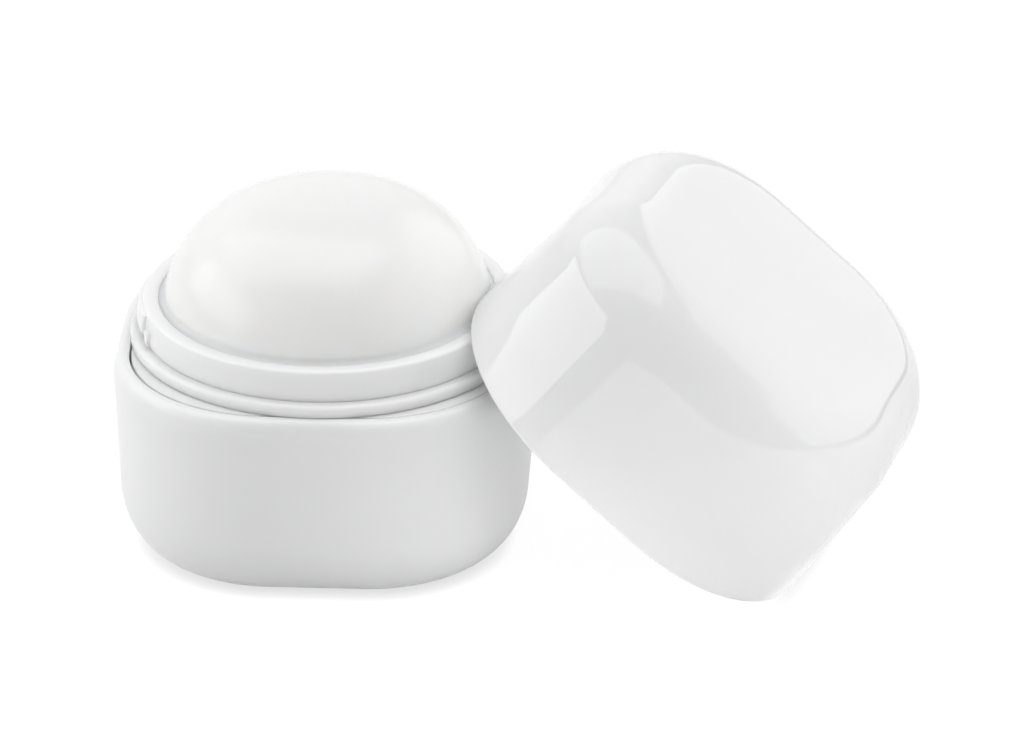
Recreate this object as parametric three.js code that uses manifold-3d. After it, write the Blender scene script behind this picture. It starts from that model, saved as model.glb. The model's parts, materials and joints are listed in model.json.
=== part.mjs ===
// Lip balm cube: a rounded two-part pot with a wax dome, its cap off and leaning against it.
// Millimetres, +Z up, origin at the middle of the base's foot.
import * as THREE from 'three';
import { mergeVertices } from 'three/addons/utils/BufferGeometryUtils.js';
import Module from 'manifold-3d';

// Plan shared by the two halves: a square with round corners
const cubeWidth = 37.0;
const cornerRadius = 14.3;
const wall = 1.2;

// Base shell: a cup whose sides lean in towards the foot
const baseHeight = 18.0;
const baseDraft = 1.7; // degrees
const footRoundInset = 4.4;
const footRoundHeight = 5.9;
const baseRimInset = 0.6;
const baseRimHeight = 1.6;
const baseFloor = 1.6;
const ledgeWidth = 0.8;
const innerFootInset = 3.2;
const lipEase = 0.15;

// Neck insert: flange in the cup's mouth, skirt below it, collar with bead and catches above it
const flangeDrop = 0.2;
const flangeThickness = 1.4;
const flangeGap = 0.2;
const seatGap = 0.05;
const skirtGap = 0.2;
const skirtWall = 1.0;
const skirtDepth = 5.0;
const ridgeDrop = 3.0;
const ridgeHeight = 0.8;
const ridgeOut = 0.3;
const beadGap = 0.25;
const beadOut = 0.55;
const beadHeight = 1.25;
const beadFrom = -75; // degrees round the bead's section
const beadTo = 80; // degrees round the bead's section
const collarHeight = 4.1;
const collarWall = 1.55;
const collarOuterEase = 0.5;
const collarInnerEase = 0.3;
const catchMiddle = 181.5; // degrees round the collar
const catchSpan = 33; // degrees
const catchOut = 0.55;
const catchDrop = 0.3;
const catchHeight = 1.6;
const catchEase = 0.15;
const stopAngle = 205; // degrees round the collar
const stopWidth = 0.5;
const stopOut = 0.3;
const stopHeight = 1.3;

// Balm: a plug in the collar that rises to a dome, keyed through holes in the flange
const balmGap = 0.15;
const balmFloorGap = 0.1;
const domeShoulder = 1.2;
const domeRise = 12.1;
const domeFullness = 3;
const anchorCount = 6;
const anchorCircle = 8.0;
const anchorHole = 3.6;
const anchorGap = 0.15;
const anchorHead = 5.2;
const anchorHeadHeight = 0.8;

// Cap shell: a cup with a crowned top, drawn here with its open edge at zero height
const capHeight = 19.1;
const capDraft = 3.2; // degrees
const capRoundInset = 5.9;
const capRoundHeight = 6.9;
const capCrown = 0.3;
const capTopWall = 1.6;
const capRimInset = 0.3;
const capRimHeight = 0.4;
const innerTopInset = 4.6;
const innerTopHeight = 6.0;
const stepWidth = 0.8;
const snapOut = 0.55;
const snapFoot = 1.0;
const snapHeight = 0.6;
const snapHalfWidth = 3.4;
const snapRoot = 0.4;

// Cap liner: an inner cup that follows the dome and closes on the collar's rim
const partingGap = 0.2;
const sealGap = 0.3;
const linerFlange = 1.2;
const linerGap = 0.2;
const linerWall = 1.0;
const domeClearance = 0.4;

// The cap off the base: one edge on the table, the opposite edge over the collar's rim
const restGap = 0.1;
const leanGap = 0.3;
const leanReach = 0.75; // how far the contact lies outside the collar's bore
const leanAzimuth = -2.5; // degrees round the base
const leanYaw = -10; // degrees
const leanSpin = -5.3; // degrees

// Fineness of the facets
const turnSteps = 48;
const curveSteps = 3;
const domeSteps = 11;
const holeSteps = 12;
const flatShare = 0.4;
const weld = 1e-4;

// Worked out from the sizes above
const half = cubeWidth / 2;
const flatHalf = Math.max(half - cornerRadius, 0);
const mouthHalf = half - wall;
const degrees = THREE.MathUtils.degToRad;
const baseLean = Math.tan(degrees(baseDraft));
const capLean = Math.tan(degrees(capDraft));

const flangeTop = baseHeight - flangeDrop;
const flangeBottom = flangeTop - flangeThickness;
const flangeHalf = mouthHalf - flangeGap;
const ledgeTop = flangeBottom - seatGap;
const wellHalf = mouthHalf - ledgeWidth;
const skirtHalf = wellHalf - skirtGap;
const ridgeMiddle = flangeBottom - ridgeDrop;
const beadRadius = mouthHalf - beadGap;
const collarRadius = beadRadius - beadOut;
const collarBore = collarRadius - collarWall;
const collarTop = flangeTop + collarHeight;

const balmRadius = collarBore - balmGap;
const balmBottom = flangeTop + balmFloorGap;
const shoulderTop = flangeTop + domeShoulder;

const closedRim = baseHeight + partingGap;
const linerBottom = collarTop - closedRim + sealGap;
const linerStep = linerBottom + linerFlange;
const capShoulder = capHeight - capCrown - capRoundHeight;
const capWallAt = (height) => half - capLean * height;
const baseWallAt = (height) => half - baseLean * (baseHeight - height);

const wasm = await Module();
wasm.setup();

// A closed geometry becomes a solid: shared points are merged and flat triangles dropped
function solid(geometry) {
  geometry.deleteAttribute('normal');
  geometry.deleteAttribute('uv');
  const merged = mergeVertices(geometry, weld);
  const corners = merged.index.array;
  const kept = [];
  for (let i = 0; i < corners.length; i += 3) {
    const [a, b, c] = corners.slice(i, i + 3);
    if (a !== b && b !== c && c !== a) kept.push(a, b, c);
  }
  return new wasm.Manifold(new wasm.Mesh({
    numProp: 3,
    vertProperties: new Float32Array(merged.attributes.position.array),
    triVerts: new Uint32Array(kept),
  }));
}

// A named piece of the pot from a solid
function piece(name, body, material) {
  const facets = body.getMesh();
  const geometry = new THREE.BufferGeometry();
  geometry.setAttribute('position', new THREE.BufferAttribute(facets.vertProperties, 3));
  geometry.setIndex(new THREE.BufferAttribute(facets.triVerts, 1));
  geometry.computeVertexNormals();
  const made = new THREE.Mesh(geometry, material);
  made.name = name;
  return made;
}

// Points of a profile: radius across, height up, without doubled points
function pointsOf(path) {
  const points = path.getPoints(curveSteps);
  return points.filter((point, i) => i === 0 || point.distanceTo(points[i - 1]) > weld);
}

// A quarter of an ellipse in a profile, between two angles in degrees
function quarter(path, middleRadius, middleHeight, across, up, from, to) {
  path.absellipse(middleRadius, middleHeight, across, up, degrees(from), degrees(to), from > to, 0);
}

// A profile turned round the Z axis
function turned(points, steps = turnSteps) {
  return solid(new THREE.LatheGeometry(points, steps).rotateX(Math.PI / 2));
}

// A profile turned round the Z axis and drawn out to the square plan with round corners
function squareTurned(points) {
  const lathe = new THREE.LatheGeometry(points, turnSteps);
  const places = lathe.attributes.position;
  const quarterSteps = turnSteps / 4;
  for (let i = 0; i < places.count; i++) {
    const step = Math.floor(i / points.length) % turnSteps;
    const side = Math.floor(step / quarterSteps);
    const angle = (side + (step % quarterSteps) / (quarterSteps - 1)) * Math.PI / 2;
    const { x: reach, y: height } = points[i % points.length];
    const flat = Math.min(flatHalf, reach * flatShare);
    const signX = side === 0 || side === 3 ? 1 : -1;
    const signY = side < 2 ? 1 : -1;
    const x = signX * flat + (reach - flat) * Math.cos(angle);
    const y = signY * flat + (reach - flat) * Math.sin(angle);
    places.setXYZ(i, x, y, height);
  }
  return solid(lathe);
}

// A block that follows the collar from one angle to another, with eased edges
function collarBlock(inner, outer, from, to, bottom, height, ease) {
  const outline = new THREE.Shape();
  outline.absarc(0, 0, outer, from, to, false);
  outline.absarc(0, 0, inner, to, from, true);
  outline.closePath();
  const block = new THREE.ExtrudeGeometry(outline, {
    depth: height - 2 * ease,
    curveSegments: curveSteps * 2,
    bevelThickness: ease,
    bevelSize: ease,
    bevelOffset: -ease,
    bevelSegments: 1,
  });
  return solid(block.translate(0, 0, bottom + ease));
}

// Dome of the balm: between an ellipse and a square-shouldered arch
function domePoints(radius, shoulder, rise) {
  const points = [];
  for (let i = 0; i <= domeSteps; i++) {
    const angle = (i / domeSteps) * Math.PI / 2;
    const across = i < domeSteps ? radius * Math.cos(angle) ** (2 / domeFullness) : 0;
    points.push(new THREE.Vector2(across, shoulder + rise * Math.sin(angle)));
  }
  return points;
}

function makeBaseShell() {
  const path = new THREE.Path();
  const footSide = baseWallAt(footRoundHeight);
  const rimSide = baseWallAt(baseHeight - baseRimHeight);
  path.moveTo(0, 0);
  path.lineTo(footSide - footRoundInset, 0);
  quarter(path, footSide - footRoundInset, footRoundHeight, footRoundInset, footRoundHeight, -90, 0);
  quarter(path, rimSide - baseRimInset, baseHeight - baseRimHeight, baseRimInset, baseRimHeight, 0, 90);
  path.lineTo(mouthHalf + lipEase, baseHeight);
  path.lineTo(mouthHalf, baseHeight - lipEase);
  path.lineTo(mouthHalf, ledgeTop);
  path.lineTo(wellHalf, ledgeTop);
  // Groove that holds the insert's ridge
  path.lineTo(wellHalf, ridgeMiddle + ridgeHeight);
  path.lineTo(wellHalf + ridgeOut, ridgeMiddle + ridgeHeight / 2);
  path.lineTo(wellHalf + ridgeOut, ridgeMiddle - ridgeHeight / 2);
  path.lineTo(wellHalf, ridgeMiddle - ridgeHeight);
  const innerRise = footRoundHeight - baseFloor;
  quarter(path, wellHalf - innerFootInset, footRoundHeight, innerFootInset, innerRise, 0, -90);
  path.lineTo(0, baseFloor);
  return squareTurned(pointsOf(path));
}

function makeNeckInsert() {
  const plate = new THREE.Path();
  const skirtBottom = flangeBottom - skirtDepth;
  plate.moveTo(0, flangeBottom);
  plate.lineTo(skirtHalf - skirtWall, flangeBottom);
  plate.lineTo(skirtHalf - skirtWall, skirtBottom);
  plate.lineTo(skirtHalf, skirtBottom);
  // Ridge that snaps into the cup's groove
  plate.lineTo(skirtHalf, ridgeMiddle - ridgeHeight / 2);
  plate.lineTo(skirtHalf + ridgeOut, ridgeMiddle);
  plate.lineTo(skirtHalf, ridgeMiddle + ridgeHeight / 2);
  plate.lineTo(skirtHalf, flangeBottom);
  plate.lineTo(flangeHalf, flangeBottom);
  plate.lineTo(flangeHalf, flangeTop - lipEase);
  plate.lineTo(flangeHalf - lipEase, flangeTop);
  plate.lineTo(0, flangeTop);
  let body = squareTurned(pointsOf(plate));

  // Collar with its bead, rooted in the flange
  const rootHeight = flangeTop - flangeThickness / 2;
  const beadMiddle = flangeTop + beadHeight / 2;
  const rimRadius = collarRadius - collarOuterEase;
  const collar = new THREE.Path();
  collar.moveTo(collarBore, rootHeight);
  collar.lineTo(collarRadius, rootHeight);
  quarter(collar, collarRadius, beadMiddle, beadOut, beadHeight / 2, beadFrom, beadTo);
  collar.lineTo(collarRadius, flangeTop + beadHeight);
  quarter(collar, rimRadius, collarTop - collarOuterEase, collarOuterEase, collarOuterEase, 0, 90);
  collar.lineTo(collarBore + collarInnerEase, collarTop);
  collar.lineTo(collarBore, collarTop - collarInnerEase);
  collar.lineTo(collarBore, rootHeight);
  body = body.add(turned(pointsOf(collar)));

  // Two opposite catches for the cap, each with a small stop rib by its front end
  const catchRoot = collarRadius - collarWall / 2;
  const catchBottom = collarTop - catchDrop - catchHeight;
  const stopBottom = flangeTop + beadHeight / 2;
  const stopReach = collarRadius + stopOut - catchRoot;
  for (const turn of [0, 180]) {
    const from = degrees(catchMiddle + turn - catchSpan / 2);
    const to = degrees(catchMiddle + turn + catchSpan / 2);
    const reach = collarRadius + catchOut;
    body = body.add(collarBlock(catchRoot, reach, from, to, catchBottom, catchHeight, catchEase));
    const stop = new THREE.BoxGeometry(stopReach, stopWidth, stopHeight + beadHeight / 2);
    stop.translate(catchRoot + stopReach / 2, 0, stopBottom + (stopHeight + beadHeight / 2) / 2);
    body = body.add(solid(stop.rotateZ(degrees(stopAngle + turn))));
  }

  // Holes that key the balm
  for (const { x, y } of anchorPlaces()) {
    const hole = new THREE.CylinderGeometry(anchorHole / 2, anchorHole / 2, flangeThickness * 2, holeSteps);
    hole.rotateX(Math.PI / 2).translate(x, y, flangeTop - flangeThickness / 2);
    body = body.subtract(solid(hole));
  }
  return body;
}

function anchorPlaces() {
  const places = [];
  for (let i = 0; i < anchorCount; i++) {
    const angle = (i / anchorCount) * Math.PI * 2;
    places.push(new THREE.Vector2(Math.cos(angle), Math.sin(angle)).multiplyScalar(anchorCircle));
  }
  return places;
}

function makeBalm() {
  const plug = [new THREE.Vector2(0, balmBottom), new THREE.Vector2(balmRadius, balmBottom)];
  let body = turned([...plug, ...domePoints(balmRadius, shoulderTop, domeRise)]);
  // Each anchor runs through its hole and spreads to a head below the flange
  const headTop = flangeBottom - balmFloorGap;
  const stem = anchorHole / 2 - anchorGap;
  const anchor = [
    [0, headTop - anchorHeadHeight],
    [anchorHead / 2, headTop - anchorHeadHeight],
    [anchorHead / 2, headTop],
    [stem, headTop],
    [stem, shoulderTop],
    [0, shoulderTop],
  ].map(([across, height]) => new THREE.Vector2(across, height));
  for (const { x, y } of anchorPlaces()) {
    body = body.add(turned(anchor, holeSteps).translate([x, y, 0]));
  }
  return body;
}

function makeCapShell() {
  const path = new THREE.Path();
  const ceiling = capHeight - capTopWall;
  const wellAt = (height) => capWallAt(height) - wall;
  const innerShoulder = ceiling - innerTopHeight;
  const innerSide = wellAt(innerShoulder) - stepWidth;
  path.moveTo(0, ceiling);
  path.lineTo(innerSide - innerTopInset, ceiling);
  quarter(path, innerSide - innerTopInset, innerShoulder, innerTopInset, innerTopHeight, 90, 0);
  path.lineTo(wellAt(linerStep + seatGap) - stepWidth, linerStep + seatGap);
  path.lineTo(wellAt(linerStep + seatGap), linerStep + seatGap);
  path.lineTo(mouthHalf, lipEase);
  path.lineTo(mouthHalf + lipEase, 0);
  path.lineTo(half - capRimInset, 0);
  path.quadraticCurveTo(half, 0, capWallAt(capRimHeight), capRimHeight);
  const topSide = capWallAt(capShoulder);
  quarter(path, topSide - capRoundInset, capShoulder, capRoundInset, capRoundHeight, 0, 90);
  path.quadraticCurveTo((topSide - capRoundInset) / 2, capHeight, 0, capHeight);
  let body = squareTurned(pointsOf(path));

  // Two snap ribs inside opposite walls, which pass under the collar's catches when the pot is shut
  const ribReach = mouthHalf - snapOut;
  const swing = Math.asin(snapHalfWidth / ribReach);
  for (const turn of [0, Math.PI]) {
    const outline = new THREE.Shape();
    outline.moveTo(mouthHalf + snapRoot, -snapHalfWidth);
    outline.lineTo(mouthHalf + snapRoot, snapHalfWidth);
    outline.absarc(0, 0, ribReach, swing, -swing, true);
    outline.closePath();
    const rib = new THREE.ExtrudeGeometry(outline, {
      depth: snapHeight,
      curveSegments: curveSteps * 2,
      bevelEnabled: false,
    });
    body = body.add(solid(rib.translate(0, 0, snapFoot).rotateZ(turn)));
  }
  return body;
}

function makeCapLiner() {
  const flangeEdge = capWallAt(linerStep) - wall - linerGap;
  const plate = [[0, linerBottom], [flangeEdge, linerBottom], [flangeEdge, linerStep], [0, linerStep]];
  const body = squareTurned(plate.map(([across, height]) => new THREE.Vector2(across, height)));
  const foot = shoulderTop - closedRim;
  const radius = balmRadius + domeClearance;
  const rise = domeRise + domeClearance;
  const middle = (linerBottom + linerStep) / 2;
  const crown = domePoints(radius + linerWall, foot, rise + linerWall).filter((point) => point.y > middle);
  const crownFoot = [new THREE.Vector2(0, middle), new THREE.Vector2(crown[0].x, middle)];
  const hollow = domePoints(radius, foot, rise);
  const hollowFoot = [new THREE.Vector2(0, foot - linerFlange), new THREE.Vector2(radius, foot - linerFlange)];
  return body.add(turned([...crownFoot, ...crown])).subtract(turned([...hollowFoot, ...hollow]));
}

const satinWhite = new THREE.MeshStandardMaterial({ color: 0xe6e7e6, roughness: 0.42, metalness: 0 });
const insertWhite = new THREE.MeshStandardMaterial({ color: 0xebebea, roughness: 0.38, metalness: 0 });
const glossWhite = new THREE.MeshStandardMaterial({ color: 0xefefef, roughness: 0.08, metalness: 0 });
const linerWhite = new THREE.MeshStandardMaterial({ color: 0xe9e9e8, roughness: 0.4, metalness: 0 });
const waxWhite = new THREE.MeshStandardMaterial({ color: 0xecece9, roughness: 0.3, metalness: 0 });

const pot = new THREE.Group();
pot.add(piece('base_shell', makeBaseShell(), satinWhite));
pot.add(piece('neck_insert', makeNeckInsert(), insertWhite));
pot.add(piece('balm', makeBalm(), waxWhite));

// The cap leans so that its open edge spans from the table to just over the collar's rim
const lean = Math.asin((collarTop + leanGap - restGap) / (cubeWidth - wall));
const cap = new THREE.Group();
cap.add(piece('cap_shell', makeCapShell(), glossWhite));
cap.add(piece('cap_liner', makeCapLiner(), linerWhite));
cap.setRotationFromMatrix(
  new THREE.Matrix4().makeRotationZ(degrees(leanYaw))
    .multiply(new THREE.Matrix4().makeRotationY(lean))
    .multiply(new THREE.Matrix4().makeRotationZ(degrees(leanSpin))),
);
const upperEdge = new THREE.Vector3(-mouthHalf, 0, 0).applyEuler(cap.rotation);
const contact = new THREE.Vector2(Math.cos(degrees(leanAzimuth)), Math.sin(degrees(leanAzimuth)));
contact.multiplyScalar(collarBore + leanReach);
cap.position.set(contact.x - upperEdge.x, contact.y - upperEdge.y, 0);
const lowest = new THREE.Box3().setFromObject(cap, true).min.z;
cap.position.z = restGap - lowest;
pot.add(cap);

export default pot;
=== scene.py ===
# Lip balm cube: an open pot with a domed balm, and its glossy cap leaning beside it
import json
import math

import bmesh
import bpy
from mathutils import Matrix, Vector

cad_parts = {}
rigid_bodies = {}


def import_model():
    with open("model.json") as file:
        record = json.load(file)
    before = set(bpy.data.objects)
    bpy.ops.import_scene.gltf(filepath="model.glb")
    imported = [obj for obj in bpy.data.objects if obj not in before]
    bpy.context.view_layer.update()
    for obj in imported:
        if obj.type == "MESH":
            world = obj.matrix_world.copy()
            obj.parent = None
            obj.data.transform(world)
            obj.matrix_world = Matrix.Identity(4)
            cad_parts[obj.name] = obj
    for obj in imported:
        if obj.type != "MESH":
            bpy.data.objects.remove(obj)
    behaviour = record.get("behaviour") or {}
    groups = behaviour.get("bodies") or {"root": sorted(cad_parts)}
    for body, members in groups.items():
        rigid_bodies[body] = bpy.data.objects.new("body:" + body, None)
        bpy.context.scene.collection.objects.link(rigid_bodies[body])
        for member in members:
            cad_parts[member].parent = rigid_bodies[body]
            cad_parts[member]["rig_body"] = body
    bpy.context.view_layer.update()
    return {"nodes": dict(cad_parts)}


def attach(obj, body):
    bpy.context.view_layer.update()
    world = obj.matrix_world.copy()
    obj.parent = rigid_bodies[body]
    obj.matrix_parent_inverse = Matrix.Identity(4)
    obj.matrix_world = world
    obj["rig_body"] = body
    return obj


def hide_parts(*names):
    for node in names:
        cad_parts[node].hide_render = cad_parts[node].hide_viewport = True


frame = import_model()
scene = bpy.context.scene
print("frame loaded:", ", ".join(sorted(frame["nodes"])))

mm = 0.001
plan = {
    "half": 18.5,         # half the width of both halves of the cube, mm
    "corner": 14.3,       # radius of the upright corners
    "wall": 1.2,
    "cornerSteps": 28,    # facets in one corner
    "sideCuts": 5,        # cuts in one straight side
    "core": 0.4,          # radius left in the corners of the closing faces
}
plan["flat"] = plan["half"] - plan["corner"]
plan["mouth"] = plan["half"] - plan["wall"]
ringSteps = 4 * (plan["cornerSteps"] + plan["sideCuts"] + 1)
weld = 0.0005    # mm
sharpAngle = 38  # degrees, an edge that bends more stays crisp


def clamp(value, limit):
    return max(-limit, min(limit, value))


def arc(across, height, wide, tall, start, end, steps):  # part of an ellipse, angles in degrees
    turns = [math.radians(start + (end - start) * i / steps) for i in range(steps + 1)]
    return [(across + wide * math.cos(t), height + tall * math.sin(t)) for t in turns]


def straight(start, end, steps):  # points between two, without the ends
    a, b = Vector(start), Vector(end)
    return [tuple(a.lerp(b, i / steps)) for i in range(1, steps)]


def squareStrip(profile):  # rings of a rounded square through (reach, height) points, open at both ends
    bm = bmesh.new()
    reach, height = profile[0]
    grid = bmesh.ops.create_grid(bm, x_segments=1, y_segments=1, size=reach)
    bmesh.ops.bevel(bm, geom=grid["verts"], offset=reach - plan["flat"], affect="VERTICES",
                    segments=plan["cornerSteps"], profile=0.5, material=-1)
    sides = [e for e in bm.edges if e.calc_length() > plan["flat"]]
    bmesh.ops.subdivide_edges(bm, edges=sides, cuts=plan["sideCuts"])
    bmesh.ops.delete(bm, geom=bm.faces, context="FACES_ONLY")
    bmesh.ops.translate(bm, vec=(0, 0, height), verts=bm.verts)
    edges = bm.edges[:]
    for reach, height in profile[1:]:
        grown = bmesh.ops.extrude_edge_only(bm, edges=edges)["geom"]
        edges = [g for g in grown if isinstance(g, bmesh.types.BMEdge) and g.is_boundary]
        for v in [g for g in grown if isinstance(g, bmesh.types.BMVert)]:
            core = Vector((clamp(v.co.x, plan["flat"]), clamp(v.co.y, plan["flat"]), 0))
            out = Vector((v.co.x, v.co.y, 0)) - core
            v.co = core + out.normalized() * (reach - plan["flat"])
            v.co.z = height
    return bm


def roundStrip(profile, steps=ringSteps):  # a profile turned once round the upright axis
    bm = bmesh.new()
    chain = [bm.verts.new((across, 0, height)) for across, height in profile]
    edges = [bm.edges.new(pair) for pair in zip(chain, chain[1:])]
    bmesh.ops.spin(bm, geom=chain + edges, cent=(0, 0, 0), axis=(0, 0, 1), angle=math.tau,
                   steps=steps, use_merge=True, use_duplicate=False)
    bmesh.ops.remove_doubles(bm, verts=bm.verts, dist=weld)
    return bm


def joined(*strips):  # several strips in one bmesh
    bm = bmesh.new()
    for strip in strips:
        mesh = bpy.data.meshes.new("strip")
        strip.to_mesh(mesh)
        strip.free()
        bm.from_mesh(mesh)
        bpy.data.meshes.remove(mesh)
    return bm


def openEdgesAt(bm, height):
    return [e for e in bm.edges if e.is_boundary and all(abs(v.co.z - height) < weld for v in e.verts)]


def ringAt(bm, height):  # fills the flat ring between two open loops that lie at one height
    bmesh.ops.triangle_fill(bm, use_beauty=True, edges=openEdgesAt(bm, height), normal=(0, 0, 1))


def closeAt(bm, height):  # closes the open loop that lies at one height
    bmesh.ops.holes_fill(bm, edges=openEdgesAt(bm, height), sides=0)


def pushFaces(bm, chosen, shift, ease):  # raises a patch of a wall as one block with eased edges
    grown = bmesh.ops.extrude_face_region(bm, geom=chosen)["geom"]
    moved = [g for g in grown if isinstance(g, bmesh.types.BMVert)]
    top = [g for g in grown if isinstance(g, bmesh.types.BMFace)]
    bmesh.ops.delete(bm, geom=[f for f in chosen if f.is_valid], context="FACES_ONLY")
    for v in moved:
        v.co += shift(v.co)
    edges = list(dict.fromkeys(e for f in top for e in f.edges))
    rim = [e for e in edges if len([f for f in e.link_faces if f in top]) == 1]
    bmesh.ops.bevel(bm, geom=rim, offset=ease, affect="EDGES", segments=2, profile=0.5, material=-1)


def finishPiece(bm, name, node, material, place=None):
    bmesh.ops.remove_doubles(bm, verts=bm.verts, dist=weld)
    bmesh.ops.recalc_face_normals(bm, faces=bm.faces)
    if place:
        bmesh.ops.transform(bm, matrix=place, verts=bm.verts)
    bmesh.ops.scale(bm, vec=(mm, mm, mm), verts=bm.verts)
    mesh = bpy.data.meshes.new(name)
    bm.to_mesh(mesh)
    bm.free()
    mesh.shade_smooth()
    mesh.set_sharp_from_angle(angle=math.radians(sharpAngle))
    piece = bpy.data.objects.new(name, mesh)
    scene.collection.objects.link(piece)
    piece.data.materials.append(material)
    normals = piece.modifiers.new("evenNormals", "WEIGHTED_NORMAL")
    normals.keep_sharp = True
    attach(piece, frame["nodes"][node]["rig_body"])
    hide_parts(node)
    print("made", name, "with", len(mesh.polygons), "faces")
    return piece


class Sock:  # a shader socket whose sums are written as plain Python
    def __init__(self, maker, socket):
        self.maker = maker
        self.socket = socket

    def sum(self, operation, first, second):
        return self.maker.node("ShaderNodeMath", {"operation": operation}, {0: first, 1: second})

    def __add__(self, other):
        return self.sum("ADD", self, other)

    def __radd__(self, other):
        return self.sum("ADD", other, self)

    def __sub__(self, other):
        return self.sum("SUBTRACT", self, other)

    def __rsub__(self, other):
        return self.sum("SUBTRACT", other, self)

    def __mul__(self, other):
        return self.sum("MULTIPLY", self, other)

    def __rmul__(self, other):
        return self.sum("MULTIPLY", other, self)

    def __pow__(self, other):
        return self.sum("POWER", self, other)

    def atLeast(self, other):
        return self.sum("MAXIMUM", self, other)


class Finish:  # the nodes of one material, or of the world
    def __init__(self, owner):
        owner.use_nodes = True
        self.owner = owner
        self.tree = owner.node_tree
        self.tree.nodes.clear()

    def node(self, kind, settings=None, values=None, out=0):
        made = self.tree.nodes.new(kind)
        for key, value in (settings or {}).items():
            setattr(made, key, value)
        for key, value in (values or {}).items():
            if isinstance(value, Sock):
                self.tree.links.new(value.socket, made.inputs[key])
            else:
                made.inputs[key].default_value = value
        return Sock(self, made.outputs[out]) if made.outputs else None

    def noise(self, where, scale, detail, rough=0.5):
        values = {"Vector": where, "Scale": scale, "Detail": detail, "Roughness": rough}
        return self.node("ShaderNodeTexNoise", None, values)

    def blend(self, factor, first, second):
        values = {"Factor": factor, 6: (*first, 1), 7: (*second, 1)}
        return self.node("ShaderNodeMix", {"data_type": "RGBA"}, values, 2)  # 6, 7 and 2 are its colours

    def path(self, kind):  # 1 for rays of one kind, otherwise 0
        return self.node("ShaderNodeLightPath", out="Is " + kind + " Ray")


mould = {  # the noise that all the finishes share
    "toneDetail": 3.0, "grainDetail": 2.0, "smearDetail": 4.0, "smearRough": 0.6, "smearDepth": 0.4,
}


def mouldedFinish(name, look):  # plastic or wax: fine grain, faint tone changes, uneven gloss
    finish = Finish(bpy.data.materials.new(name))
    where = finish.node("ShaderNodeTexCoord", out="Object")
    tone = finish.noise(where, look["toneScale"], mould["toneDetail"])
    grain = finish.noise(where, look["grainScale"], mould["grainDetail"])
    smear = finish.noise(where, look["smearScale"], mould["smearDetail"], mould["smearRough"])
    color = finish.blend(tone, look["dark"], look["light"])
    gloss = look["roughness"] + look["roughSpread"] * (smear - 0.5)
    height = grain + mould["smearDepth"] * smear
    values = {"Strength": look["bump"], "Distance": look["bumpDepth"], "Height": height}
    bump = finish.node("ShaderNodeBump", None, values)
    values = {
        "Base Color": color, "Roughness": gloss, "Normal": bump, "IOR": look["ior"],
        "Subsurface Weight": look["soft"], "Subsurface Radius": look["softReach"],
        "Subsurface Scale": 1.0,
    }
    shader = finish.node("ShaderNodeBsdfPrincipled", None, values)
    finish.node("ShaderNodeOutputMaterial", None, {"Surface": shader})
    return finish.owner


satinLook = {
    "dark": (0.795, 0.800, 0.800), "light": (0.825, 0.828, 0.826), "toneScale": 60,
    "grainScale": 2600, "smearScale": 140, "roughness": 0.35, "roughSpread": 0.08,
    "bump": 0.10, "bumpDepth": 0.00004, "ior": 1.47,
    "soft": 0.5, "softReach": (0.0012, 0.0012, 0.0012),
}
insertLook = {
    "dark": (0.82, 0.825, 0.825), "light": (0.85, 0.852, 0.85), "toneScale": 70,
    "grainScale": 2400, "smearScale": 160, "roughness": 0.36, "roughSpread": 0.10,
    "bump": 0.08, "bumpDepth": 0.00004, "ior": 1.49,
    "soft": 0.7, "softReach": (0.0014, 0.0014, 0.0014),
}
waxLook = {
    "dark": (0.855, 0.857, 0.85), "light": (0.89, 0.891, 0.883), "toneScale": 90,
    "grainScale": 900, "smearScale": 220, "roughness": 0.22, "roughSpread": 0.06,
    "bump": 0.06, "bumpDepth": 0.00006, "ior": 1.44,
    "soft": 0.7, "softReach": (0.0022, 0.0020, 0.0018),
}
glossLook = {
    "dark": (0.855, 0.858, 0.858), "light": (0.88, 0.882, 0.881), "toneScale": 45,
    "grainScale": 300, "smearScale": 120, "roughness": 0.05, "roughSpread": 0.03,
    "bump": 0.02, "bumpDepth": 0.00003, "ior": 1.5,
    "soft": 0.5, "softReach": (0.0018, 0.0018, 0.0018),
}
linerLook = {
    "dark": (0.80, 0.805, 0.805), "light": (0.83, 0.832, 0.83), "toneScale": 70,
    "grainScale": 2000, "smearScale": 150, "roughness": 0.45, "roughSpread": 0.10,
    "bump": 0.08, "bumpDepth": 0.00004, "ior": 1.47,
    "soft": 0.5, "softReach": (0.0014, 0.0014, 0.0014),
}
satinPlastic = mouldedFinish("satinPlastic", satinLook)
insertPlastic = mouldedFinish("insertPlastic", insertLook)
balmWax = mouldedFinish("balmWax", waxLook)
glossPlastic = mouldedFinish("glossPlastic", glossLook)
linerPlastic = mouldedFinish("linerPlastic", linerLook)
print("finishes ready")

base = {
    "height": 18.0, "draft": 1.7, "footInset": 4.4, "footHeight": 5.9,
    "rimInset": 0.9, "rimHeight": 1.6, "lipEase": 0.15, "floor": 1.6, "mouth": 17.05,
    "ledge": 16.35, "ledgeWidth": 0.8, "innerInset": 3.2,
    "steps": {"sole": 4, "foot": 20, "side": 8, "rim": 12, "lip": 4, "well": 5, "inner": 10},
}


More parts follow.
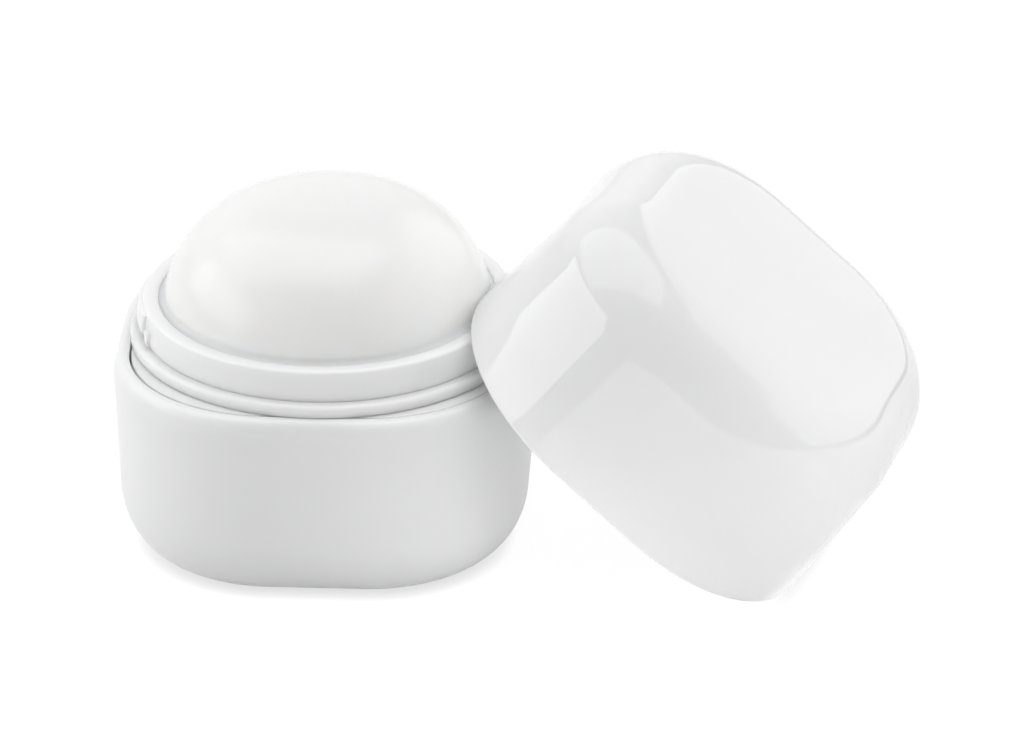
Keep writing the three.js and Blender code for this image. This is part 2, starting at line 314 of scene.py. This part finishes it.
def makeBaseShell():
    lean = math.tan(math.radians(base["draft"]))
    top, bend, footInset = base["height"], base["footHeight"], base["footInset"]
    rimInset, rimHeight = base["rimInset"], base["rimHeight"]
    side = plan["half"] - lean * (top - bend)
    rimSide, rimZ = plan["half"] - lean * rimHeight, top - rimHeight
    mouth, well, ease = base["mouth"], base["mouth"] - base["ledgeWidth"], base["lipEase"]
    core = plan["flat"] + plan["core"]
    steps = base["steps"]
    profile = [(core, 0)]
    profile += straight((core, 0), (side - footInset, 0), steps["sole"])
    profile += arc(side - footInset, bend, footInset, bend, -90, 0, steps["foot"])
    profile += straight((side, bend), (rimSide, rimZ), steps["side"])
    profile += arc(rimSide - rimInset, rimZ, rimInset, rimHeight, 0, 90, steps["rim"])
    profile += arc(mouth + ease, top - ease, ease, ease, 90, 180, steps["lip"])
    profile += [(mouth, base["ledge"]), (well, base["ledge"])]
    profile += straight((well, base["ledge"]), (well, bend), steps["well"])
    inner = base["innerInset"]
    profile += arc(well - inner, bend, inner, bend - base["floor"], 0, -90, steps["inner"])
    profile += [(core, base["floor"])]
    bm = squareStrip(profile)
    closeAt(bm, 0)
    closeAt(bm, base["floor"])
    return finishPiece(bm, "baseShell", "base_shell", satinPlastic)


neck = {
    "flangeTop": 18.0, "flangeBottom": 16.4, "flangeGap": 0.1, "flangeEase": 0.08, "shift": 0.1,
    "skirtGap": 0.2, "skirtWall": 1.0, "skirtDepth": 5.0,
    "beadFoot": 16.7, "beadLift": 0.02, "beadRadius": 17.45, "beadTop": 1.08,
    "beadEase": 0.4, "beadLowEase": 0.1,
    "radius": 16.5, "topRadius": 16.3, "collarHeight": 3.9, "undercut": 0.15,
    "bore": 14.85, "outerEase": 0.3, "innerEase": 0.3,
    "outerFrom": 20,  # degrees, where the rounding of the collar's outer edge starts
    "catchMiddle": 181.5, "catchSpan": 33, "catchOut": 0.35, "catchDrop": 0.3, "catchHeight": 1.6,
    "rampSpan": 18, "rampFrom": 0.35,  # each catch rises from its back end, in degrees and as a share
    "stopAngle": 202.5, "stopSpan": 2.6, "stopOut": 0.3, "stopLow": 1.3, "stopHeight": 1.3, "edge": 0.1,
    "steps": {"small": 4, "bead": 8, "undercut": 8, "outer": 6, "inner": 5},
}
neck["top"] = neck["flangeTop"] + neck["collarHeight"]


def turnFrom(point, angle):  # degrees between a point's bearing and an angle
    return (math.degrees(math.atan2(point.y, point.x)) - angle + 180) % 360 - 180


def wallPatch(bm, angle, span, low, high):  # faces of the collar's outer wall between two heights
    found = []
    for f in bm.faces:
        middle = f.calc_center_median()
        outside = neck["topRadius"] - neck["outerEase"] < middle.xy.length < neck["radius"] + weld
        if outside and low < middle.z < high and abs(turnFrom(middle, angle)) < span / 2:
            found.append(f)
    return found


def outward(co, reach):  # a step away from the upright axis
    return co.xy.normalized().to_3d() * reach


def rampOut(backEnd):  # how far a catch comes out of the wall, growing from its back end
    def shift(co):
        share = min(1, neck["rampFrom"] + turnFrom(co, backEnd) / neck["rampSpan"])
        return outward(co, neck["catchOut"] * share)
    return shift


def makeCollar():  # the round part of the insert: bead, collar, two catches and two stops
    top, radius, bore, flat = neck["top"], neck["radius"], neck["bore"], neck["flangeTop"]
    bead, ledge = neck["beadRadius"], flat + neck["beadTop"]
    catchTop = top - neck["catchDrop"]
    catchLow = catchTop - neck["catchHeight"]
    stopLow = flat + neck["stopLow"]
    stopTop = stopLow + neck["stopHeight"]
    narrowing = (neck["topRadius"] - radius) / neck["catchHeight"]
    steps = neck["steps"]
    profile = [(neck["beadFoot"], flat)]
    ease = neck["beadLowEase"]
    profile += arc(bead - ease, flat + neck["beadLift"] + ease, ease, ease, -90, 0, steps["small"])
    ease = neck["beadEase"]
    profile += arc(bead - ease, ledge - ease, ease, ease, 0, 90, steps["bead"])
    ease = neck["undercut"]
    profile += arc(radius - ease, catchLow, ease, catchLow - ledge, -90, 0, steps["undercut"])
    profile += [(radius + narrowing * (z - catchLow), z) for z in (stopTop, catchTop)]
    ease = neck["outerEase"]
    profile += arc(neck["topRadius"] - ease, top - ease, ease, ease, neck["outerFrom"], 90, steps["outer"])
    ease = neck["innerEase"]
    profile += arc(bore + ease, top - ease, ease, ease, 90, 180, steps["inner"])
    profile += [(bore, flat), (0, flat)]
    bm = roundStrip(profile)
    for turn in (0, 180):
        middle = neck["catchMiddle"] + turn
        patch = wallPatch(bm, middle, neck["catchSpan"], catchLow, catchTop)
        pushFaces(bm, patch, rampOut(middle - neck["catchSpan"] / 2), neck["edge"])
        patch = wallPatch(bm, neck["stopAngle"] + turn, neck["stopSpan"], stopLow, stopTop)
        pushFaces(bm, patch, lambda co: outward(co, neck["stopOut"]), neck["edge"])
    return bm


def makeNeckInsert():
    flange = base["mouth"] - neck["flangeGap"]
    skirt = base["mouth"] - base["ledgeWidth"] - neck["skirtGap"]
    skirtInside = skirt - neck["skirtWall"]
    low, ease = neck["flangeBottom"], neck["flangeEase"]
    skirtFoot = low - neck["skirtDepth"]
    profile = [(plan["flat"] + plan["core"], low), (skirtInside, low), (skirtInside, skirtFoot)]
    profile += [(skirt, skirtFoot), (skirt, low), (flange, low)]
    profile += arc(flange - ease, neck["flangeTop"] - ease, ease, ease, 0, 90, neck["steps"]["small"])
    bm = joined(makeCollar(), squareStrip(profile))
    ringAt(bm, neck["flangeTop"])
    closeAt(bm, low)
    place = Matrix.Translation((neck["shift"], 0, 0))
    return finishPiece(bm, "neckInsert", "neck_insert", insertPlastic, place)


balm = {
    "gap": 0.05, "foot": 17.9, "shoulder": 19.0, "rise": 12.1, "fullness": 3, "rings": 48, "steps": 160,
    "shift": 0.15,
    # the dome ends on the collar in a small hollow curve
    "creep": -0.05, "creepLow": 0.14, "creepUp": 0.6, "creepEnd": 185, "creepSteps": 8,
}


def dome(radius, shoulder, rise, rings):  # between an ellipse and a square-shouldered arch
    points = []
    for i in range(rings + 1):
        turn = math.pi / 2 * i / rings
        across = radius * max(math.cos(turn), 0) ** (2 / balm["fullness"]) if i < rings else 0
        points.append((across, shoulder + rise * math.sin(turn)))
    return points


def makeBalm():
    radius = neck["bore"] - balm["gap"]
    edge = neck["bore"] - balm["creep"]
    low = neck["top"] - balm["creepLow"]
    high = low + balm["creepUp"]
    arch = [p for p in dome(radius, balm["shoulder"], balm["rise"], balm["rings"]) if p[1] > high]
    profile = [(0, balm["foot"]), (edge, balm["foot"])]
    across = edge - arch[0][0]
    profile += arc(edge, high, across, balm["creepUp"], 270, balm["creepEnd"], balm["creepSteps"])
    profile += arch
    bm = roundStrip(profile, balm["steps"])
    place = Matrix.Translation((balm["shift"], 0, 0))
    return finishPiece(bm, "balmDome", "balm", balmWax, place)


cap = {
    "height": 19.1, "draft": 3.2, "topInset": 5.9, "topHeight": 6.9, "crown": 0.3, "topWall": 1.6,
    "rimInset": 0.3, "rimHeight": 0.4, "lipEase": 0.15, "innerInset": 4.6, "innerHeight": 6.0,
    "stepHeight": 5.25, "stepWidth": 0.8,
    "snapOut": 0.55, "snapFoot": 1.0, "snapHeight": 0.6, "snapEdge": 0.1,
    "snapShare": 0.7, "snapReach": 0.3,  # share of a straight side, and how near its wall a face counts
    "restGap": 0.1, "leanGap": 0.3, "leanReach": 0.85,
    "leanAzimuth": -2.5, "leanYaw": -10, "leanSpin": -5.3,
    "steps": {"inner": 12, "lip": 4, "rim": 6, "side": 9, "shoulder": 24, "crown": 8},
}


def capPlace():  # one edge on the table, the opposite edge over the collar's rim
    rise = neck["top"] + cap["leanGap"] - cap["restGap"]
    lean = math.asin(rise / (2 * plan["half"] - plan["wall"]))
    turn = Matrix.Rotation(math.radians(cap["leanYaw"]), 4, "Z") @ Matrix.Rotation(lean, 4, "Y")
    turn = turn @ Matrix.Rotation(math.radians(cap["leanSpin"]), 4, "Z")
    bearing = math.radians(cap["leanAzimuth"])
    touch = Vector((math.cos(bearing), math.sin(bearing), 0)) * (neck["bore"] + cap["leanReach"])
    place = touch - turn @ Vector((-plan["mouth"], 0, 0))
    axis = turn @ Vector((0, 0, 1))
    # the frame's own cap gives the height: its open edge is the lowest plane along its axis
    corners = [v.co / mm for v in frame["nodes"]["cap_shell"].data.vertices]
    place.z = (min(c.dot(axis) for c in corners) - axis.x * place.x - axis.y * place.y) / axis.z
    return Matrix.Translation(place) @ turn


def snapPatch(bm, sign):  # faces of the inner wall where a snap rib stands
    found = []
    for f in bm.faces:
        middle = f.calc_center_median()
        inWall = abs(middle.x * sign - plan["mouth"]) < cap["snapReach"]
        inWidth = abs(middle.y) < plan["flat"] * cap["snapShare"]
        if inWall and inWidth and 0 < middle.z - cap["snapFoot"] < cap["snapHeight"]:
            found.append(f)
    return found


def makeCapShell(place):
    lean = math.tan(math.radians(cap["draft"]))

    def outer(height):
        return plan["half"] - lean * height

    def inner(height):
        return outer(height) - plan["wall"]

    shoulder = cap["height"] - cap["crown"] - cap["topHeight"]
    side = outer(shoulder)
    topReach = side - cap["topInset"]
    core = plan["flat"] + plan["core"]
    ceiling = cap["height"] - cap["topWall"]
    innerZ = ceiling - cap["innerHeight"]
    innerReach = inner(innerZ) - cap["stepWidth"] - cap["innerInset"]
    step, ease, steps = cap["stepHeight"], cap["lipEase"], cap["steps"]
    rimInset, rimHeight = cap["rimInset"], cap["rimHeight"]
    profile = [(core, ceiling)]
    profile += arc(innerReach, innerZ, cap["innerInset"], cap["innerHeight"], 90, 0, steps["inner"])
    profile += [(inner(step) - cap["stepWidth"], step), (inner(step), step)]
    profile += [(inner(h), h) for h in (cap["snapFoot"] + cap["snapHeight"], cap["snapFoot"])]
    profile += arc(plan["mouth"] + ease, ease, ease, ease, 180, 270, steps["lip"])
    profile += arc(plan["half"] - rimInset, rimHeight, rimInset, rimHeight, -90, 0, steps["rim"])
    profile += straight((plan["half"], rimHeight), (side, shoulder), steps["side"])
    profile += arc(topReach, shoulder, cap["topInset"], cap["topHeight"], 0, 90, steps["shoulder"])
    for i in range(1, steps["crown"] + 1):
        reach = topReach + (core - topReach) * i / steps["crown"]
        profile.append((reach, cap["height"] - cap["crown"] * (reach / topReach) ** 2))
    bm = squareStrip(profile)
    for sign in (-1, 1):
        inward = Vector((-sign * cap["snapOut"], 0, 0))
        pushFaces(bm, snapPatch(bm, sign), lambda co: inward, cap["snapEdge"])
    closeAt(bm, ceiling)
    closeAt(bm, profile[-1][1])
    return finishPiece(bm, "capShell", "cap_shell", glossPlastic, place)


liner = {
    "bottom": 4.0, "flange": 1.2, "gap": 0.2, "wall": 1.0, "clearance": 0.4, "foot": 0.8, "ease": 0.2,
    "rings": 40,
}


def makeCapLiner(place):
    lean = math.tan(math.radians(cap["draft"]))
    low, high = liner["bottom"], liner["bottom"] + liner["flange"]
    radius = neck["bore"] - balm["gap"] + liner["clearance"]
    rise = balm["rise"] + liner["clearance"]
    wall, foot, rings = liner["wall"], liner["foot"], liner["rings"]
    inside = [p for p in dome(radius, foot, rise, rings) if p[1] > low + liner["ease"]]
    outside = [p for p in dome(radius + wall, foot, rise + wall, rings) if p[1] > high]
    edge = plan["half"] - lean * high - plan["wall"] - liner["gap"]
    bm = joined(
        roundStrip([(inside[0][0] + 2 * liner["ease"], low)] + inside),
        roundStrip([(outside[0][0], high)] + outside),
        squareStrip([(edge, low), (edge, high)]),
    )
    ringAt(bm, low)
    ringAt(bm, high)
    return finishPiece(bm, "capLiner", "cap_liner", linerPlastic, place)


makeBaseShell()
makeNeckInsert()
makeBalm()
leaning = capPlace()
makeCapShell(leaning)
makeCapLiner(leaning)

floorLook = {
    "side": 900, "front": -260, "back": 1400,  # edges of the table, mm
    "tone": 0.66,          # what the object gets back from the table
    "shade": 0.15,         # share of true light and shadow in the table as it is seen
    "white": 0.93,         # even white under that
    "contactReach": 1.3,   # how far the painted contact shadow reaches, mm
    "paintedContactShade": 0.27,   # share of the white that the painted contact shadow takes away
    "contactRays": 4,
}


def grey(value):
    return (value, value, value)


def makeFloor():
    bm = bmesh.new()
    bmesh.ops.create_grid(bm, x_segments=1, y_segments=1, size=0.5)
    length = floorLook["back"] - floorLook["front"]
    bmesh.ops.scale(bm, vec=(2 * floorLook["side"] * mm, length * mm, 1), verts=bm.verts)
    bmesh.ops.translate(bm, vec=(0, (floorLook["front"] + length / 2) * mm, 0), verts=bm.verts)
    mesh = bpy.data.meshes.new("floor")
    bm.to_mesh(mesh)
    bm.free()
    floor = bpy.data.objects.new("floor", mesh)
    scene.collection.objects.link(floor)
    finish = Finish(bpy.data.materials.new("paleFloor"))
    matte = finish.node("ShaderNodeBsdfDiffuse", None, {"Color": (*grey(floorLook["tone"]), 1)})
    faint = finish.node("ShaderNodeBsdfDiffuse", None, {"Color": (*grey(floorLook["shade"]), 1)})
    settings = {"samples": floorLook["contactRays"]}
    values = {"Distance": floorLook["contactReach"] * mm}
    # painted contact shadow: where parts stand close, an occlusion test darkens the floor's seen white,
    # with no lamp involved
    openness = finish.node("ShaderNodeAmbientOcclusion", settings, values, "AO")
    white = floorLook["white"]
    paintedShadowWhite = finish.blend(openness, grey(white * (1 - floorLook["paintedContactShade"])), grey(white))
    even = finish.node("ShaderNodeEmission", None, {"Color": paintedShadowWhite, "Strength": 1.0})
    bright = finish.node("ShaderNodeAddShader", None, {0: faint, 1: even})
    seen = finish.path("Camera") + finish.path("Glossy") + finish.path("Transmission")
    both = finish.node("ShaderNodeMixShader", None, {0: seen, 1: matte, 2: bright})
    finish.node("ShaderNodeOutputMaterial", None, {"Surface": both})
    finish.owner.cycles.emission_sampling = "NONE"  # the white is only looked at and lights nothing
    mesh.materials.append(finish.owner)


roomGlow = {  # where the room's light comes from, in degrees, what it gives and what gloss shows of it
    "above": {"azimuth": 0, "elevation": 85, "light": 2.0, "gloss": 0.36},
    "backLeft": {"azimuth": 135, "elevation": 12, "light": 0, "gloss": 0.92},
    "back": {"azimuth": 90, "elevation": 12, "light": 0.04, "gloss": 0.9},
    "highBack": {"azimuth": 60, "elevation": 45, "light": 1.6, "gloss": 0},
    "right": {"azimuth": 0, "elevation": 45, "light": 0.07, "gloss": 0},
    "frontRight": {"azimuth": 300, "elevation": 45, "light": 1.2, "gloss": 0},
}
roomFocus = 8  # a higher power gathers each of these lights into a smaller part of the room


def makeWorld():
    scene.world = bpy.data.worlds.new("paleRoom")
    room = Finish(scene.world)
    toward = room.node("ShaderNodeTexCoord", out="Generated")
    light, gloss = 0, 0
    for lobe in roomGlow.values():
        turn, rise = math.radians(lobe["azimuth"]), math.radians(lobe["elevation"])
        axis = (math.cos(turn) * math.cos(rise), math.sin(turn) * math.cos(rise), math.sin(rise))
        values = {0: toward, 1: axis}
        facing = room.node("ShaderNodeVectorMath", {"operation": "DOT_PRODUCT"}, values, "Value")
        spread = facing.atLeast(0) ** roomFocus
        light = light + lobe["light"] * spread
        gloss = gloss + lobe["gloss"] * spread
    seen = room.path("Camera") + room.path("Transmission")  # white where it is looked at
    given = light + room.path("Glossy") * (gloss - light)
    values = {"Color": (1, 1, 1, 1), "Strength": seen + (1 - seen) * given}
    sky = room.node("ShaderNodeBackground", None, values)
    room.node("ShaderNodeOutputWorld", None, {"Surface": sky})


# softboxes with crisp edges, and the glow of the bright table around the object's foot
# a mirrored lamp only shows in the gloss, a hidden one only gives light, an upward one also faces up
lampTarget = (20, 0, 16)  # mm, where the others face
lamps = {
    "leftBox": {"place": (-406, -30, 163), "size": (500, 183), "power": 0.61},
    "rightBox": {"place": (404, 103, 235), "size": (1100, 423), "power": 1.6, "mirrored": True},
    "overBox": {"place": (-140, 50, 536), "size": (555, 900), "power": 1.8, "mirrored": True},
    "overLight": {"place": (-150, 60, 560), "size": (575, 930), "power": 0.76, "hidden": True},
    "tableUnderCap": {"place": (35, -6, 0.5), "size": (26, 26), "power": 0.0013, "upward": True},
    "tableBetween": {"place": (22, -22, 0.5), "size": (14, 12), "power": 0.00035, "upward": True},
    "tableNear": {"place": (11, -36, 7), "size": (10, 14), "power": 0.00036, "hidden": True},
    "tableAhead": {"place": (40, -75, 12), "size": (30, 20), "power": 0.0055, "hidden": True},
    "tableRight": {"place": (90, -50, 12), "size": (30, 20), "power": 0.0066, "hidden": True},
    "tableLeft": {"place": (-90, -40, 20), "size": (30, 30), "power": 0.0165, "hidden": True},
}


def makeLamps():
    for name, box in lamps.items():
        light = bpy.data.lights.new(name, "AREA")
        light.shape = "RECTANGLE"
        light.size, light.size_y = (s * mm for s in box["size"])
        light.energy = box["power"]
        lamp = bpy.data.objects.new(name, light)
        lamp.location = Vector(box["place"]) * mm
        aim = Vector((0, 0, 1)) if box.get("upward") else Vector(lampTarget) - Vector(box["place"])
        lamp.rotation_euler = aim.to_track_quat("-Z", "Y").to_euler()
        lamp.visible_camera = False
        lamp.visible_glossy = not (box.get("upward") or box.get("hidden"))
        lamp.visible_diffuse = not box.get("mirrored")
        scene.collection.objects.link(lamp)


shot = {
    "place": (37.555, -437.901, 229.847), "pitch": 26.22, "yaw": -2.759,  # mm and degrees
    "focal": 5500, "frameWidth": 1024,  # pixels of the photograph
    "sensor": 36, "near": 0.01,  # mm, and the nearest thing that shows, m
}


def makeCamera():
    lens = bpy.data.cameras.new("camera")
    lens.sensor_fit = "HORIZONTAL"
    lens.sensor_width = shot["sensor"]
    lens.lens = shot["focal"] / shot["frameWidth"] * shot["sensor"]
    lens.clip_start = shot["near"]
    camera = bpy.data.objects.new("camera", lens)
    camera.location = Vector(shot["place"]) * mm
    camera.rotation_euler = (math.radians(90 - shot["pitch"]), 0, math.radians(-shot["yaw"]))
    scene.collection.objects.link(camera)
    scene.camera = camera


makeFloor()
makeWorld()
makeLamps()
makeCamera()
scene.view_settings.view_transform = "Standard"
print("stage, light and camera set")
